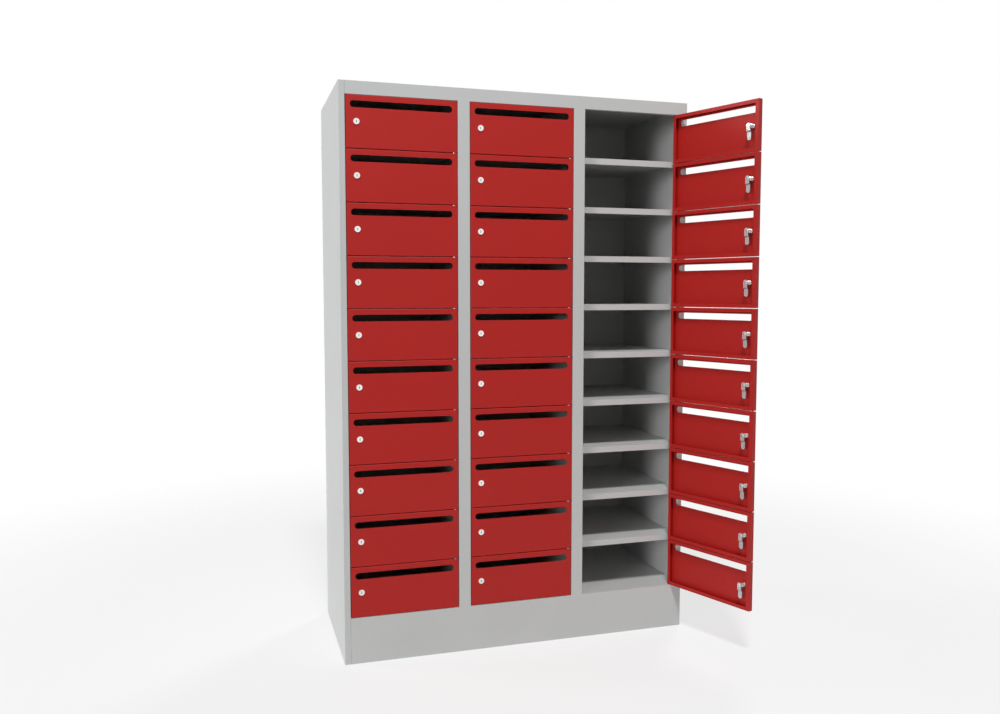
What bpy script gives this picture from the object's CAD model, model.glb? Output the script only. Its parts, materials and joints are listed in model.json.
"""Looks, light and camera of a steel pigeonhole cabinet with three columns of lockers.

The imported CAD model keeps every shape. This script dresses its nodes, adds the locks' fine
detail, which moves with them, and builds the studio round the cabinet.
"""

import json
import logging
import math
from dataclasses import dataclass, field
from enum import Enum

import bpy
from mathutils import Matrix, Vector


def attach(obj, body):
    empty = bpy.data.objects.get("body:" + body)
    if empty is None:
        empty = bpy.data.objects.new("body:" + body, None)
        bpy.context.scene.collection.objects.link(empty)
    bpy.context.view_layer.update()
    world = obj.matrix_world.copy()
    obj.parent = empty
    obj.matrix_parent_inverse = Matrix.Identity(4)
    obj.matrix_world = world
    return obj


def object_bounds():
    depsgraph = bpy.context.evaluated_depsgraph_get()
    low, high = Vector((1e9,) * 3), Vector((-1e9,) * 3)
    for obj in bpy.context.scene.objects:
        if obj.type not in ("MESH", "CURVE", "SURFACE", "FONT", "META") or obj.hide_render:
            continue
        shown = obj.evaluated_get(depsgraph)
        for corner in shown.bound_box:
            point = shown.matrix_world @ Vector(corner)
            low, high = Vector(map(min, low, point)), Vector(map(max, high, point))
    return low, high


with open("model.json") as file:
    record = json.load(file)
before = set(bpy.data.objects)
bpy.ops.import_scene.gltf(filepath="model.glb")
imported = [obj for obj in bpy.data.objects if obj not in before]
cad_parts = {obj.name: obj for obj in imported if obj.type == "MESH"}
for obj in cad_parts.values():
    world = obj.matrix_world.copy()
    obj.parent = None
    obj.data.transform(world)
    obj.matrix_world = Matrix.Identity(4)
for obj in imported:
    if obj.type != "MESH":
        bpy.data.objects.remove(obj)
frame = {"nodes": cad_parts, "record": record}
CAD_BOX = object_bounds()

log = logging.getLogger("pigeonhole_cabinet")

Colour = tuple[float, float, float]
Point = tuple[float, float, float]
Outline = list[tuple[float, float]]
Ward = tuple[float, float, float, float]

WHITE: Colour = (1.0, 1.0, 1.0)

# The joint that each moving body turns on, by the body's name.
JOINTS: dict[str, dict] = {
    joint["child"]: joint for joint in frame["record"]["behaviour"]["joints"]
}

# Corners of one solid agree to this many digits of a metre.
WELD_DIGITS = 7

# A size that is worked out from two joints is good to a tenth of a millimetre.
SIZE_DIGITS = 4

# The number of the material that dress_node gives a node.
FIRST_FINISH = 0


class Column(Enum):
    """The three columns of lockers, as someone who faces the doors sees them."""

    LEFT = "left"
    MIDDLE = "middle"
    RIGHT = "right"


class Slot(Enum):
    """The record's material slots."""

    CABINET = "cabinet_grey"
    DOOR = "door_red"
    LOCK = "lock_metal"
    ZINC = "zinc"
    NYLON = "nylon"


def opaque(colour: Colour) -> tuple[float, float, float, float]:
    """Gives a colour with an alpha of one."""
    return (*colour, 1.0)


def scaled(colour: Colour, factor: float) -> Colour:
    """Gives a colour made lighter or darker by a factor, and no lighter than white."""
    return tuple(min(1.0, c * factor) for c in colour)


@dataclass(frozen=True)
class Grain:
    """How fine a noise is.

    Attributes:
        scale: how many of its waves fit in a metre.
        layers: how many finer layers it has.
    """

    scale: float
    layers: float = 2.0


class NodeSheet:
    """The node tree of a material or a world, with short ways to add and join nodes."""

    # A noise stays mostly between these two values.
    NOISE_LOW = 0.3
    NOISE_HIGH = 0.7

    def __init__(self, owner: bpy.types.Material | bpy.types.World) -> None:
        """Clears the owner's tree.

        Args:
            owner: the material or world.
        """
        owner.use_nodes = True
        self.owner = owner
        self.tree = owner.node_tree
        self.tree.nodes.clear()

    @classmethod
    def of_material(cls, name: str) -> "NodeSheet":
        """Makes a new material of that name, with an empty tree."""
        return cls(bpy.data.materials.new(name))

    def add(self, kind: str, **settings: object) -> bpy.types.Node:
        """Adds a node.

        Args:
            kind: the node's type without its ShaderNode prefix.
            **settings: attributes of the node.

        Returns:
            The new node.
        """
        node = self.tree.nodes.new("ShaderNode" + kind)
        for key, value in settings.items():
            setattr(node, key, value)
        return node

    def join(self, source: bpy.types.NodeSocket, target: bpy.types.NodeSocket) -> None:
        """Joins an output to an input."""
        self.tree.links.new(source, target)

    def place(self) -> bpy.types.NodeSocket:
        """Gives the position on the piece, in metres, which stays with it when it moves."""
        return self.add("TexCoord").outputs["Object"]

    def noise(self, place: bpy.types.NodeSocket, grain: Grain) -> bpy.types.NodeSocket:
        """Adds a noise texture.

        Args:
            place: the position that drives it.
            grain: how fine it is.

        Returns:
            Its value, about 0.5 on average.
        """
        texture = self.add("TexNoise")
        texture.inputs["Scale"].default_value = grain.scale
        texture.inputs["Detail"].default_value = grain.layers
        self.join(place, texture.inputs["Vector"])
        return texture.outputs["Fac"]

    def spread(self, value: bpy.types.NodeSocket, low: float, high: float) -> bpy.types.NodeSocket:
        """Maps a noise onto a range.

        Args:
            value: the noise.
            low: what it gives where the noise is low.
            high: what it gives where the noise is high.

        Returns:
            The mapped value.
        """
        ramp = self.add("MapRange")
        ramp.inputs["From Min"].default_value = self.NOISE_LOW
        ramp.inputs["From Max"].default_value = self.NOISE_HIGH
        ramp.inputs["To Min"].default_value = low
        ramp.inputs["To Max"].default_value = high
        self.join(value, ramp.inputs["Value"])
        return ramp.outputs["Result"]

    def tint(self, amount: bpy.types.NodeSocket, dark: Colour,
             light: Colour) -> bpy.types.NodeSocket:
        """Mixes two colours by an amount.

        Args:
            amount: 0 for the dark one and 1 for the light one.
            dark: the first colour.
            light: the second colour.

        Returns:
            The mixed colour.
        """
        mix = self.add("Mix", data_type="RGBA")
        colours = [s for s in mix.inputs if s.type == "RGBA"]
        colours[0].default_value = opaque(dark)
        colours[1].default_value = opaque(light)
        self.join(amount, mix.inputs[0])
        return next(s for s in mix.outputs if s.type == "RGBA")

    def bump(self, height: bpy.types.NodeSocket, strength: float,
             depth: float) -> bpy.types.NodeSocket:
        """Adds a bump.

        Args:
            height: the texture that raises the surface.
            strength: how much of it shows.
            depth: its height in metres.

        Returns:
            The bumped normal.
        """
        node = self.add("Bump")
        node.inputs["Strength"].default_value = strength
        node.inputs["Distance"].default_value = depth
        self.join(height, node.inputs["Height"])
        return node.outputs["Normal"]

    def principled(self) -> bpy.types.Node:
        """Adds the surface shader and the output.

        Returns:
            The shader, joined to the output.
        """
        shader = self.add("BsdfPrincipled")
        output = self.add("OutputMaterial")
        self.join(shader.outputs["BSDF"], output.inputs["Surface"])
        return shader

    def seen_directly(self) -> bpy.types.NodeSocket:
        """Tells what is seen from what only lights.

        Returns:
            1 for what is seen directly or in gloss or glass, and 0 for the rest.
        """
        path = self.add("LightPath")
        seen = path.outputs["Is Camera Ray"]
        for way in ("Is Glossy Ray", "Is Transmission Ray"):
            either = self.add("Math", operation="MAXIMUM")
            self.join(seen, either.inputs[0])
            self.join(path.outputs[way], either.inputs[1])
            seen = either.outputs["Value"]
        return seen

    def mix_shaders(self, amount: bpy.types.NodeSocket, first: bpy.types.Node,
                    second: bpy.types.Node) -> bpy.types.Node:
        """Mixes two shaders.

        Args:
            amount: 0 for the first and 1 for the second.
            first: the first shader.
            second: the second shader.

        Returns:
            The mixed shader.
        """
        mix = self.add("MixShader")
        self.join(amount, mix.inputs[0])
        self.join(first.outputs[0], mix.inputs[1])
        self.join(second.outputs[0], mix.inputs[2])
        return mix


@dataclass(frozen=True)
class PowderCoat:
    """Fine powder coat baked on sheet steel.

    Attributes:
        name: the finish's name.
        colour: its mean colour.
        cloud: how far the colour drifts over a sheet, as a share.
        fleck: how far the colour varies from grain to grain, as a share.
        roughness: its mean roughness.
        smear: how far the roughness drifts either way.
        gloss: its specular level.
        cloud_grain: the noise of the colour's drift.
        fleck_grain: the noise of the flecks, a little coarser than the coat's own grain.
        smear_grain: the noise of the roughness.
        coat_grain: the noise of the coat's surface.
        coat_strength: how much of that surface shows.
        coat_depth: the height of its grains in metres.
    """

    name: str
    colour: Colour
    cloud: float = 0.02
    fleck: float = 0.03
    roughness: float = 0.42
    smear: float = 0.04
    gloss: float = 0.5
    cloud_grain: Grain = Grain(3.5, layers=3.0)
    fleck_grain: Grain = Grain(770.0, layers=1.0)
    smear_grain: Grain = Grain(60.0, layers=4.0)
    coat_grain: Grain = Grain(1100.0)
    coat_strength: float = 0.35
    coat_depth: float = 0.00004

    def make(self) -> bpy.types.Material:
        """Makes the material.

        Returns:
            The new material.
        """
        sheet = NodeSheet.of_material(self.name)
        place = sheet.place()
        shader = sheet.principled()
        shader.inputs["Specular IOR Level"].default_value = self.gloss
        drift = sheet.spread(sheet.noise(place, self.cloud_grain), 0.0, 1.0)
        dark, light = scaled(self.colour, 1 - self.cloud), scaled(self.colour, 1 + self.cloud)
        base = sheet.tint(drift, dark, light)
        flecks = sheet.spread(sheet.noise(place, self.fleck_grain), 1 - self.fleck, 1 + self.fleck)
        flecked = sheet.add("VectorMath", operation="SCALE")
        sheet.join(base, flecked.inputs[0])
        sheet.join(flecks, flecked.inputs["Scale"])
        sheet.join(flecked.outputs["Vector"], shader.inputs["Base Color"])
        smears = sheet.noise(place, self.smear_grain)
        rough = sheet.spread(smears, self.roughness - self.smear, self.roughness + self.smear)
        sheet.join(rough, shader.inputs["Roughness"])
        surface = sheet.noise(place, self.coat_grain)
        normal = sheet.bump(surface, self.coat_strength, self.coat_depth)
        sheet.join(normal, shader.inputs["Normal"])
        return sheet.owner


@dataclass(frozen=True)
class PlatedMetal:
    """A plated metal with fine tool marks, which run up and down.

    Attributes:
        name: the finish's name.
        colour: the plating's colour.
        roughness: its mean roughness.
        smoother: how far the roughness falls below its mean between the marks.
        rougher: how far it rises above its mean on them.
        haze: how bright the plating is where it is hazy, as a share.
        haze_grain: the noise of the haze.
        mark_grain: the noise of the marks.
        mark_strength: how much of the marks shows.
        mark_depth: their depth in metres.
        lengthwise: how fast the marks change along Z, as a share of how fast they change across it.
    """

    name: str
    colour: Colour
    roughness: float = 0.22
    smoother: float = 0.06
    rougher: float = 0.08
    haze: float = 0.9
    haze_grain: Grain = Grain(180.0, layers=3.0)
    mark_grain: Grain = Grain(2600.0, layers=3.0)
    mark_strength: float = 0.25
    mark_depth: float = 0.00002
    lengthwise: float = 0.12

    def make(self) -> bpy.types.Material:
        """Makes the material.

        Returns:
            The new material.
        """
        sheet = NodeSheet.of_material(self.name)
        shader = sheet.principled()
        shader.inputs["Metallic"].default_value = 1.0
        mapping = sheet.add("Mapping")
        mapping.inputs["Scale"].default_value = (1.0, 1.0, self.lengthwise)
        sheet.join(sheet.place(), mapping.inputs["Vector"])
        place = mapping.outputs["Vector"]
        haze = sheet.spread(sheet.noise(place, self.haze_grain), 0.0, 1.0)
        plating = sheet.tint(haze, scaled(self.colour, self.haze), self.colour)
        sheet.join(plating, shader.inputs["Base Color"])
        marks = sheet.noise(place, self.mark_grain)
        rough = sheet.spread(marks, self.roughness - self.smoother, self.roughness + self.rougher)
        sheet.join(rough, shader.inputs["Roughness"])
        normal = sheet.bump(marks, self.mark_strength, self.mark_depth)
        sheet.join(normal, shader.inputs["Normal"])
        return sheet.owner


@dataclass(frozen=True)
class MouldedNylon:
    """White nylon as it comes from the mould.

    Attributes:
        name: the finish's name.
        colour: its colour where it is clearest.
        milk: how bright its milky patches are, as a share.
        smoothest: its least roughness.
        roughest: its greatest roughness.
        milk_grain: the noise of the milky patches.
        skin_grain: the noise of its skin.
        skin_strength: how much of the skin's grain shows.
        skin_depth: the height of that grain in metres.
        depth: how much of the light goes in under the skin, as a share.
        depth_reach: how far that light goes, in metres.
    """

    name: str
    colour: Colour
    milk: float = 0.93
    smoothest: float = 0.42
    roughest: float = 0.55
    milk_grain: Grain = Grain(400.0)
    skin_grain: Grain = Grain(5000.0)
    skin_strength: float = 0.2
    skin_depth: float = 0.00001
    depth: float = 0.15
    depth_reach: float = 0.001

    def make(self) -> bpy.types.Material:
        """Makes the material.

        Returns:
            The new material.
        """
        sheet = NodeSheet.of_material(self.name)
        shader = sheet.principled()
        place = sheet.place()
        milk = sheet.spread(sheet.noise(place, self.milk_grain), 0.0, 1.0)
        body = sheet.tint(milk, scaled(self.colour, self.milk), self.colour)
        sheet.join(body, shader.inputs["Base Color"])
        skin = sheet.noise(place, self.skin_grain)
        rough = sheet.spread(skin, self.smoothest, self.roughest)
        sheet.join(rough, shader.inputs["Roughness"])
        normal = sheet.bump(skin, self.skin_strength, self.skin_depth)
        sheet.join(normal, shader.inputs["Normal"])
        shader.inputs["Subsurface Weight"].default_value = self.depth
        shader.inputs["Subsurface Radius"].default_value = (self.depth_reach,) * 3
        return sheet.owner


@dataclass
class Finishes:
    """Every finish of the cabinet, made once and shared.

    Attributes:
        shell: the coat of the cabinet's own sheets.
        door: the coat of the door leaves.
        lock: the plating of the locks' housings, nuts, plugs and screws, and of the lugs' rims.
        recess: the black inside of key slots and cross recesses.
        zinc: the plating of hinge pins and cams.
        lug: the plating of hinge lugs.
        washer: the nylon of hinge washers.
        made: the materials that are made so far, by the finish's name.
    """

    shell: PowderCoat = PowderCoat("light_grey_coat", (0.597, 0.612, 0.604))
    door: PowderCoat = PowderCoat("red_coat", (0.45, 0.0108, 0.0075), cloud=0.03,
                                  roughness=0.5, gloss=0.4)
    lock: PlatedMetal = PlatedMetal("nickel_plate", (0.88, 0.87, 0.85))
    recess: PlatedMetal = PlatedMetal("blackened_recess", (0.085, 0.08, 0.075), roughness=0.5)
    zinc: PlatedMetal = PlatedMetal("zinc_plate", (0.6, 0.61, 0.62), roughness=0.4)
    lug: PlatedMetal = PlatedMetal("black_zinc_plate", (0.11, 0.11, 0.12), roughness=0.5)
    washer: MouldedNylon = MouldedNylon("white_nylon", (0.9, 0.9, 0.88))
    made: dict[str, bpy.types.Material] = field(default_factory=dict)

    def of(self, finish: PowderCoat | PlatedMetal | MouldedNylon) -> bpy.types.Material:
        """Gives a finish's material, and makes it on first use.

        Args:
            finish: one of the finishes above.

        Returns:
            Its material.
        """
        if finish.name not in self.made:
            self.made[finish.name] = finish.make()
        return self.made[finish.name]


def dress_node(name: str, material: bpy.types.Material) -> None:
    """Gives a CAD node its material.

    Args:
        name: the node.
        material: what it is dressed in.
    """
    node = frame["nodes"][name]
    node.data.materials.clear()
    node.data.materials.append(material)
    log.info("%s is dressed in %s", name, material.name)


def add_finish(mesh: bpy.types.Mesh, material: bpy.types.Material) -> int:
    """Adds one more material to a mesh.

    Args:
        mesh: the mesh.
        material: the material.

    Returns:
        Its number among the mesh's materials.
    """
    mesh.materials.append(material)
    return len(mesh.materials) - 1


def prism(name: str, outline: Outline, start: float, end: float) -> bpy.types.Mesh:
    """Makes a closed prism along the Y axis.

    Args:
        name: the mesh's name.
        outline: its outline as X and Z, anticlockwise as seen from the front.
        start: the Y of its front.
        end: the Y of its back.

    Returns:
        Its mesh.
    """
    count = len(outline)
    points = [(x, y, z) for y in (start, end) for x, z in outline]
    faces = [tuple(range(count)), tuple(range(2 * count - 1, count - 1, -1))]
    faces += [(i, count + i, count + (i + 1) % count, (i + 1) % count) for i in range(count)]
    mesh = bpy.data.meshes.new(name)
    mesh.from_pydata(points, [], faces)
    return mesh


def loose_parts(mesh: bpy.types.Mesh) -> list[list[int]]:
    """Finds a mesh's separate solids.

    Args:
        mesh: the mesh to read. It isn't changed.

    Returns:
        Each solid's face numbers, in the order of the mesh.
    """
    corner: dict[tuple[float, ...], int] = {}
    parent = list(range(len(mesh.vertices)))

    def root(vertex: int) -> int:
        """Finds the vertex that stands for a vertex's solid.

        Args:
            vertex: any vertex.

        Returns:
            The vertex that all those of its solid share.
        """
        while parent[vertex] != vertex:
            parent[vertex] = parent[parent[vertex]]
            vertex = parent[vertex]
        return vertex

    for vertex in mesh.vertices:
        key = tuple(round(c, WELD_DIGITS) for c in vertex.co)
        parent[root(vertex.index)] = root(corner.setdefault(key, vertex.index))
    for face in mesh.polygons:
        first = root(face.vertices[0])
        for vertex in face.vertices[1:]:
            parent[root(vertex)] = first
    solids: dict[int, list[int]] = {}
    for face in mesh.polygons:
        solids.setdefault(root(face.vertices[0]), []).append(face.index)
    return list(solids.values())


@dataclass
class Shell:
    """The coated steel body of the cabinet.

    Attributes:
        finishes: the finishes to dress it in.
        panels: its sheet steel nodes.
    """

    finishes: Finishes
    panels: tuple[str, ...] = (
        "left_side", "right_side", "back_panel", "top_panel", "bottom_panel", "plinth_front",
        "left_post", "right_post", "left_partition", "right_partition",
        "shelves_left", "shelves_middle", "shelves_right",
    )

    def dress(self) -> None:
        """Coats each panel."""
        for name in self.panels:
            dress_node(name, self.finishes.of(self.finishes.shell))


@dataclass
class HingeLine:
    """The pins, lugs and washers that the doors turn on.

    Attributes:
        finishes: the finishes to dress it in.
        nose_reach: how far from a pin's axis the round nose of a lug reaches, in metres.
        upright: the most that the Z of a normal may be on the nose's rim.
    """

    finishes: Finishes
    nose_reach: float = 0.0052
    upright: float = 0.5

    def dress(self) -> None:
        """Plates the steel pieces and colours the washers."""
        dress_node("hinge_lugs", self.finishes.of(self.finishes.lug))
        dress_node("hinge_pins", self.finishes.of(self.finishes.zinc))
        dress_node("hinge_washers", self.finishes.of(self.finishes.washer))
        self.polish_noses(self.finishes.of(self.finishes.lock))

    def polish_noses(self, material: bpy.types.Material) -> None:
        """Gives the rim of each lug's round nose, which is left bright, a material of its own.

        Args:
            material: what the rims are dressed in.
        """
        mesh = frame["nodes"]["hinge_lugs"].data
        rim = add_finish(mesh, material)
        pivots = [joint["pos_m"] for child, joint in JOINTS.items() if child.startswith("door")]
        axes = {Vector(pivot[:2]).freeze() for pivot in pivots}
        for face in mesh.polygons:
            near = any((face.center.xy - axis).length < self.nose_reach for axis in axes)
            if near and abs(face.normal.z) < self.upright:
                face.material_index = rim


@dataclass(frozen=True)
class BarrelThread:
    """The rolled thread on a lock's barrel, which two flats interrupt.

    Attributes:
        root: the radius at which a turn starts, just inside the barrel, in metres.
        crest: the radius of its crest.
        half_flats: half the distance between the barrel's flats.
        cover: how far the thread stays under a flat.
        pitch: the distance between two turns.
        foot: half the width of a turn at its root, as a share of the pitch.
        land: half the width of its crest, as a share of the pitch.
        start: where the thread starts, behind the door's pivot line.
        end: where it ends.
        steps: how many steps make a turn.
    """

    root: float = 0.0078
    crest: float = 0.00825
    half_flats: float = 0.007
    cover: float = 0.0002
    pitch: float = 0.0011
    foot: float = 0.46
    land: float = 0.1
    start: float = -0.0012
    end: float = 0.0183
    steps: int = 28

    def reach(self, turn: float, radius: float) -> float:
        """Gives the radius at an angle, which dips under the surface at a flat.

        Args:
            turn: the angle in radians from the level direction.
            radius: the radius between the flats.

        Returns:
            The radius there, in metres.
        """
        rise = abs(math.sin(turn))
        if rise * radius < self.half_flats:
            return radius
        return (self.half_flats - self.cover) / rise

    def mesh(self, material: bpy.types.Material) -> bpy.types.Mesh:
        """Makes the thread round the Y axis, as one ridge that climbs the barrel.

        Args:
            material: what it is dressed in.

        Returns:
            Its mesh.
        """
        count = int((self.end - self.start) / self.pitch * self.steps)
        profile = ((self.root, -self.foot), (self.crest, -self.land),
                   (self.crest, self.land), (self.root, self.foot))
        size = len(profile)
        points: list[Point] = []
        faces: list[tuple[int, ...]] = []
        for step in range(count + 1):
            turn = 2 * math.pi * step / self.steps
            along = self.start + self.pitch * step / self.steps
            for radius, share in profile:
                reach = self.reach(turn, radius)
                middle = along + share * self.pitch
                points.append((reach * math.cos(turn), middle, reach * math.sin(turn)))
        for base in range(0, count * size, size):
            for i in range(size):
                after = (i + 1) % size
                faces.append((base + i, base + after, base + size + after, base + size + i))
        faces.append(tuple(range(size)))
        faces.append(tuple(reversed(range(count * size, count * size + size))))
        mesh = bpy.data.meshes.new("barrel_thread")
        mesh.from_pydata(points, [], faces)
        mesh.materials.append(material)
        return mesh


@dataclass(frozen=True)
class Keyway:
    """The dark, warded channel at the bottom of a lock's key slot.

    Attributes:
        half_width: half the channel's width, in metres.
        half_height: half its height.
        ward: how far each ward reaches into the channel.
        front: where the channel starts, behind the door's pivot line.
        back: where it ends.
        right_wards: the four corners of each ward on the right, from the bottom up, as shares
            of the half height.
        left_wards: the four corners of each ward on the left, from the top down.
    """

    half_width: float = 0.00095
    half_height: float = 0.0039
    ward: float = 0.00045
    front: float = -0.0086
    back: float = -0.00605
    right_wards: tuple[Ward, ...] = ((-0.45, -0.38, -0.12, 0.0), (0.42, 0.5, 0.72, 0.8))
    left_wards: tuple[Ward, ...] = ((0.3, 0.2, -0.2, -0.3),)

    def corners(self, wards: tuple[Ward, ...], side: int) -> Outline:
        """Gives the corners of the wards on one side.

        Args:
            wards: the wards, in order round the channel.
            side: 1 for the right side and -1 for the left.

        Returns:
            The corners as X and Z.
        """
        outer, inner = side * self.half_width, side * (self.half_width - self.ward)
        across = (outer, inner, inner, outer)
        return [(x, share * self.half_height) for ward in wards for x, share in zip(across, ward)]

    def mesh(self, material: bpy.types.Material) -> bpy.types.Mesh:
        """Makes the channel as a warded block, round the Y axis.

        Args:
            material: what it is dressed in.

        Returns:
            Its mesh.
        """
        wide, high = self.half_width, self.half_height
        right = [(wide, -high), *self.corners(self.right_wards, 1), (wide, high)]
        left = [(-wide, high), *self.corners(self.left_wards, -1)]
        mesh = prism("keyway", [(-wide, -high), *right, *left], self.front, self.back)
        mesh.materials.append(material)
        return mesh


@dataclass(frozen=True)
class CrossRecess:
    """The cross recess in the head of the screw that holds a cam.

    Attributes:
        arm: the length of each arm, in metres.
        width: the width of each arm where the four meet.
        tip: half the width of an arm's end, as a share of that width.
        place: where the head's face is, behind the door's pivot line.
        lift: how far the dark recess is drawn proud of the face.
    """

    arm: float = 0.0027
    width: float = 0.0011
    tip: float = 0.36
    place: float = 0.024
    lift: float = 0.00004

    def mesh(self, material: bpy.types.Material) -> bpy.types.Mesh:
        """Makes the cross, whose arms taper to their ends, round the Y axis.

        Args:
            material: what it is dressed in.

        Returns:
            Its mesh.
        """
        inner, tip = self.width / 2, self.width * self.tip
        corners = ((self.arm, -tip), (self.arm, tip), (inner, inner))
        outline: Outline = []
        for quarter in range(4):
            turn = quarter * math.pi / 2
            for across, up in corners:
                outline.append((across * math.cos(turn) - up * math.sin(turn),
                                across * math.sin(turn) + up * math.cos(turn)))
        mesh = prism("cross_recess", outline, self.place - self.lift, self.place + self.lift)
        mesh.materials.append(material)
        return mesh


@dataclass
class DoorBank:
    """One column's doors with their cam locks.

    Attributes:
        column: which column it is.
        finishes: the finishes to dress it in.
        thread: the mesh of a lock barrel's thread.
        recess: the mesh of a cam screw's recess.
        keyway: the mesh of a plug's keyway.
        rows: how many doors it has.
        hub_front: how far behind the pivot line the hub of a cam starts, in metres.
        hub_back: how far behind the pivot line it ends.
        arm_drop: how far below the lock's axis everything is the cam's arm.
    """

    column: Column
    finishes: Finishes
    thread: bpy.types.Mesh
    recess: bpy.types.Mesh
    keyway: bpy.types.Mesh
    rows: int = 10
    hub_front: float = 0.0189
    hub_back: float = 0.0211
    arm_drop: float = 0.013

    def lock_reach(self) -> float:
        """Works out how far a lock is from its door's pivot line, from the column whose locks turn.

        Returns:
            The distance in metres, which is the same on every door.
        """
        door = JOINTS[f"door_{Column.RIGHT.value}_01"]["pos_m"]
        lock = JOINTS[f"lock_{Column.RIGHT.value}_01"]["pos_m"]
        return round(math.dist(door[:2], lock[:2]), SIZE_DIGITS)

    def dress(self) -> None:
        """Coats each door's leaf, plates its lock and adds the lock's fine detail."""
        for row in range(1, self.rows + 1):
            door = f"door_{self.column.value}_{row:02d}"
            lock = f"lock_{self.column.value}_{row:02d}"
            self.dress_door(door)
            if lock in frame["nodes"]:
                self.dress_lock(lock)
                plug_body = lock
            else:
                self.dress_fused_cam(door)
                plug_body = door
            self.add_detail(f"{lock}_thread", self.thread, door, door)
            self.add_detail(f"{lock}_recess", self.recess, door, plug_body)
            self.add_detail(f"{lock}_keyway", self.keyway, door, plug_body)

    def add_detail(self, name: str, mesh: bpy.types.Mesh, door: str, body: str) -> None:
        """Adds a piece on the axis of a door's lock.

        Args:
            name: the piece's name.
            mesh: its mesh, round the lock's axis.
            door: the door that carries the lock. Its joint's range starts at the shut door.
            body: the body that the piece moves with.
        """
        joint = JOINTS[door]
        opened = math.radians(-joint["range_deg"][0])
        piece = bpy.data.objects.new(name, mesh)
        bpy.context.scene.collection.objects.link(piece)
        piece.matrix_world = (Matrix.Translation(joint["pos_m"]) @ Matrix.Rotation(opened, 4, "Z")
                              @ Matrix.Translation((-self.lock_reach(), 0, 0)))
        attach(piece, body)
        log.info("%s rides on %s", name, body)

    def dress_door(self, name: str) -> None:
        """Coats the leaf of a door's node and plates the rest."""
        dress_node(name, self.finishes.of(self.finishes.lock))
        self.dress_largest(name, self.finishes.of(self.finishes.door))

    def dress_lock(self, name: str) -> None:
        """Plates the plug and the screw of a lock's node in nickel, and its cam in zinc."""
        dress_node(name, self.finishes.of(self.finishes.lock))
        self.dress_largest(name, self.finishes.of(self.finishes.zinc))

    def dress_fused_cam(self, name: str) -> None:
        """Plates the cam in zinc where a shut door's lock is all one solid.

        Args:
            name: the door's node, whose leaf has a material of its own by now.
        """
        mesh = frame["nodes"][name].data
        zinc = add_finish(mesh, self.finishes.of(self.finishes.zinc))
        _, pivot, axis = JOINTS[name]["pos_m"]
        for face in mesh.polygons:
            hub = self.hub_front < face.center.y - pivot < self.hub_back
            arm = axis - face.center.z > self.arm_drop
            if face.material_index == FIRST_FINISH and (hub or arm):
                face.material_index = zinc

    def dress_largest(self, name: str, material: bpy.types.Material) -> None:
        """Gives the solid with the most surface in a node a material of its own.

        Args:
            name: the node.
            material: what the solid is dressed in.
        """
        mesh = frame["nodes"][name].data
        added = add_finish(mesh, material)
        solids = loose_parts(mesh)
        largest = max(solids, key=lambda faces: sum(mesh.polygons[f].area for f in faces))
        for face in largest:
            mesh.polygons[face].material_index = added


@dataclass(frozen=True)
class Softbox:
    """A round lamp with a soft edge to its shadows.

    Attributes:
        name: the lamp's name.
        direction: the way from the object to the lamp.
        power: its power in watts.
        distance: how far it is from the object's middle, in metres.
        size: its width in metres.
    """

    name: str
    direction: Point
    power: float
    distance: float
    size: float

    def hang(self, middle: Vector) -> None:
        """Hangs the lamp and turns it to the object.

        Args:
            middle: the object's middle.
        """
        lamp = bpy.data.lights.new(self.name, "AREA")
        lamp.shape = "DISK"
        lamp.size = self.size
        lamp.energy = self.power
        box = bpy.data.objects.new(self.name, lamp)
        bpy.context.scene.collection.objects.link(box)
        way = Vector(self.direction).normalized()
        box.location = middle + way * self.distance
        box.rotation_euler = (-way).to_track_quat("-Z", "Y").to_euler()
        log.info("%s hangs %.1f m away", self.name, self.distance)


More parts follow.
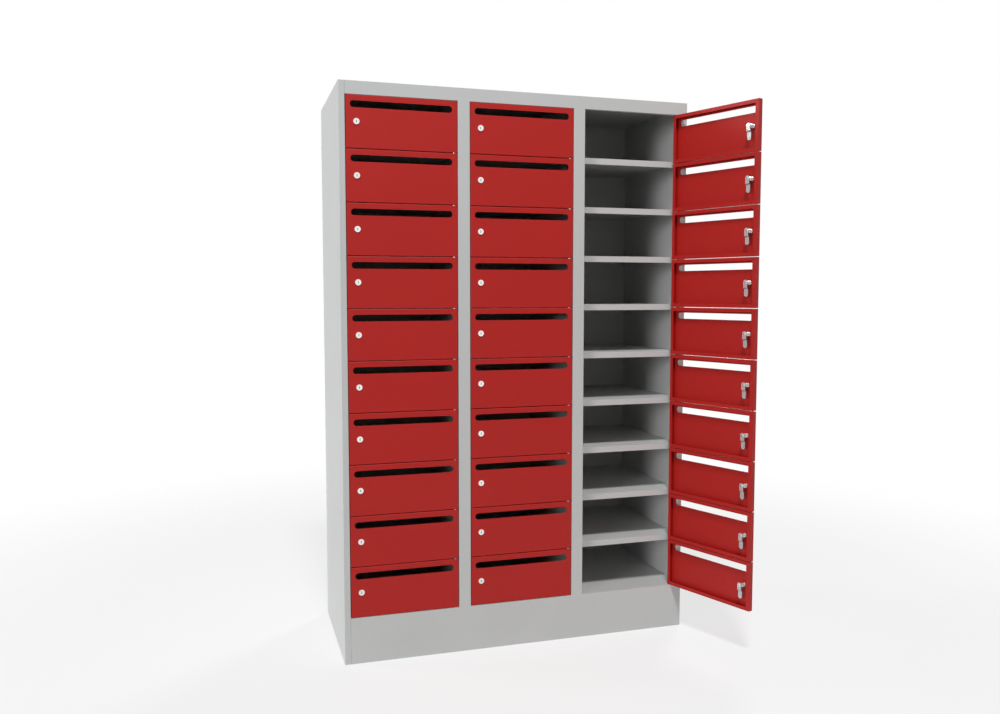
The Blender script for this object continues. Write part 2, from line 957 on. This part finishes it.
@dataclass
class Studio:
    """A pale floor, a white surround, soft lamps and the camera.

    Attributes:
        floor_half: half the floor's width in metres.
        floor_colour: the floor's colour.
        floor_mottle: how bright the floor's darker patches are, as a share.
        floor_grain: the noise of those patches.
        floor_glow: how much of the floor's white is its own, so that the shadow on it is pale.
        floor_bounce: how much of its colour the floor throws back on the object.
        floor_near: how far from the object's middle the floor is solid, in metres.
        floor_far: how far from there it has faded into the white surround, in metres.
        fill: how strongly the white surround lights the object.
        lamps: the lamps.
        camera_place: the camera's place, in metres.
        camera_yaw: how far the camera turns right of straight ahead, in degrees.
        camera_pitch: how far it looks down, in degrees.
        focal_length: its focal length in millimetres.
        sensor_width: its sensor's width in millimetres.
    """

    floor_half: float = 8.0
    floor_colour: Colour = (0.8, 0.8, 0.8)
    floor_mottle: float = 0.99
    floor_grain: Grain = Grain(2.0)
    floor_glow: float = 0.66
    floor_bounce: float = 0.85
    floor_near: float = 1.4
    floor_far: float = 3.4
    fill: float = 0.12
    lamps: tuple[Softbox, ...] = (
        Softbox("key_softbox", (-0.12, -0.495, 0.857), power=316.0, distance=7.0, size=1.1),
        Softbox("front_softbox", (-0.83, -0.53, 0.15), power=965.0, distance=18.0, size=5.4),
        Softbox("side_softbox", (-0.88, 0.42, 0.22), power=286.0, distance=10.0, size=3.0),
        Softbox("back_softbox", (0.62, 0.70, 0.35), power=500.0, distance=10.0, size=3.0),
    )
    camera_place: Point = (-0.9470, -3.0726, 1.1981)
    camera_yaw: float = 17.10
    camera_pitch: float = 4.149
    focal_length: float = 32.19
    sensor_width: float = 36.0

    def build(self) -> None:
        """Builds the floor, the surround, the lamps and the camera."""
        self.lay_floor()
        self.light_surround()
        middle = (CAD_BOX[0] + CAD_BOX[1]) / 2
        for lamp in self.lamps:
            lamp.hang(middle)
        self.set_camera()

    def lay_floor(self) -> None:
        """Lays the floor."""
        half = self.floor_half
        corners = [(-half, -half, 0), (half, -half, 0), (half, half, 0), (-half, half, 0)]
        mesh = bpy.data.meshes.new("studio_floor")
        mesh.from_pydata(corners, [], [(0, 1, 2, 3)])
        mesh.materials.append(self.floor_finish())
        floor = bpy.data.objects.new("studio_floor", mesh)
        bpy.context.scene.collection.objects.link(floor)
        log.info("%s is laid", floor.name)

    def floor_finish(self) -> bpy.types.Material:
        """Makes the floor's finish, which keeps the object's shadow and fades into the surround.

        Returns:
            The new material.
        """
        sheet = NodeSheet.of_material("pale_floor")
        place = sheet.place()
        patches = sheet.spread(sheet.noise(place, self.floor_grain), 0.0, 1.0)
        matt = sheet.add("BsdfDiffuse")
        thrown = scaled(self.floor_colour, self.floor_bounce)
        bounce = sheet.tint(patches, scaled(thrown, self.floor_mottle), thrown)
        sheet.join(bounce, matt.inputs["Color"])
        shaded = sheet.add("BsdfDiffuse")
        dim = scaled(self.floor_colour, 1 - self.floor_glow)
        surface = sheet.tint(patches, scaled(dim, self.floor_mottle), dim)
        sheet.join(surface, shaded.inputs["Color"])
        glow = sheet.add("Emission")
        glow.inputs["Strength"].default_value = self.floor_glow
        shown = sheet.add("AddShader")
        sheet.join(shaded.outputs[0], shown.inputs[0])
        sheet.join(glow.outputs[0], shown.inputs[1])
        solid = sheet.mix_shaders(sheet.seen_directly(), matt, shown)
        distance = sheet.add("VectorMath", operation="LENGTH")
        sheet.join(place, distance.inputs[0])
        fade = sheet.add("MapRange", interpolation_type="SMOOTHSTEP")
        fade.inputs["From Min"].default_value = self.floor_near
        fade.inputs["From Max"].default_value = self.floor_far
        sheet.join(distance.outputs["Value"], fade.inputs["Value"])
        whole = sheet.mix_shaders(fade.outputs["Result"], solid, sheet.add("BsdfTransparent"))
        output = sheet.add("OutputMaterial")
        sheet.join(whole.outputs[0], output.inputs["Surface"])
        return sheet.owner

    def light_surround(self) -> None:
        """Makes the surround white, and lets it light the object less strongly than it looks."""
        world = bpy.data.worlds.new("studio_surround")
        bpy.context.scene.world = world
        sheet = NodeSheet(world)
        lit = sheet.add("Background")
        lit.inputs["Strength"].default_value = self.fill
        shown = sheet.add("Background")
        shown.inputs["Strength"].default_value = 1.0
        for background in (lit, shown):
            background.inputs["Color"].default_value = opaque(WHITE)
        output = sheet.add("OutputWorld")
        whole = sheet.mix_shaders(sheet.seen_directly(), lit, shown)
        sheet.join(whole.outputs[0], output.inputs["Surface"])

    def set_camera(self) -> None:
        """Sets the camera."""
        lens = bpy.data.cameras.new("studio_camera")
        lens.lens = self.focal_length
        lens.sensor_width = self.sensor_width
        lens.sensor_fit = "HORIZONTAL"
        camera = bpy.data.objects.new("studio_camera", lens)
        bpy.context.scene.collection.objects.link(camera)
        camera.location = self.camera_place
        tilt = math.radians(90 - self.camera_pitch)
        camera.rotation_euler = (tilt, 0.0, math.radians(-self.camera_yaw))
        bpy.context.scene.camera = camera
        log.info("%s is set", camera.name)


def main() -> None:
    """Dresses the cabinet, part by part, and builds the studio round it."""
    logging.basicConfig(level=logging.INFO, format="%(name)s: %(message)s")
    bpy.context.scene.view_settings.view_transform = "Standard"
    finishes = Finishes()
    Shell(finishes).dress()
    HingeLine(finishes).dress()
    thread = BarrelThread().mesh(finishes.of(finishes.lock))
    recess = CrossRecess().mesh(finishes.of(finishes.recess))
    keyway = Keyway().mesh(finishes.of(finishes.recess))
    for column in Column:
        DoorBank(column, finishes, thread, recess, keyway).dress()
    Studio().build()


if __name__ == "__main__":
    main()
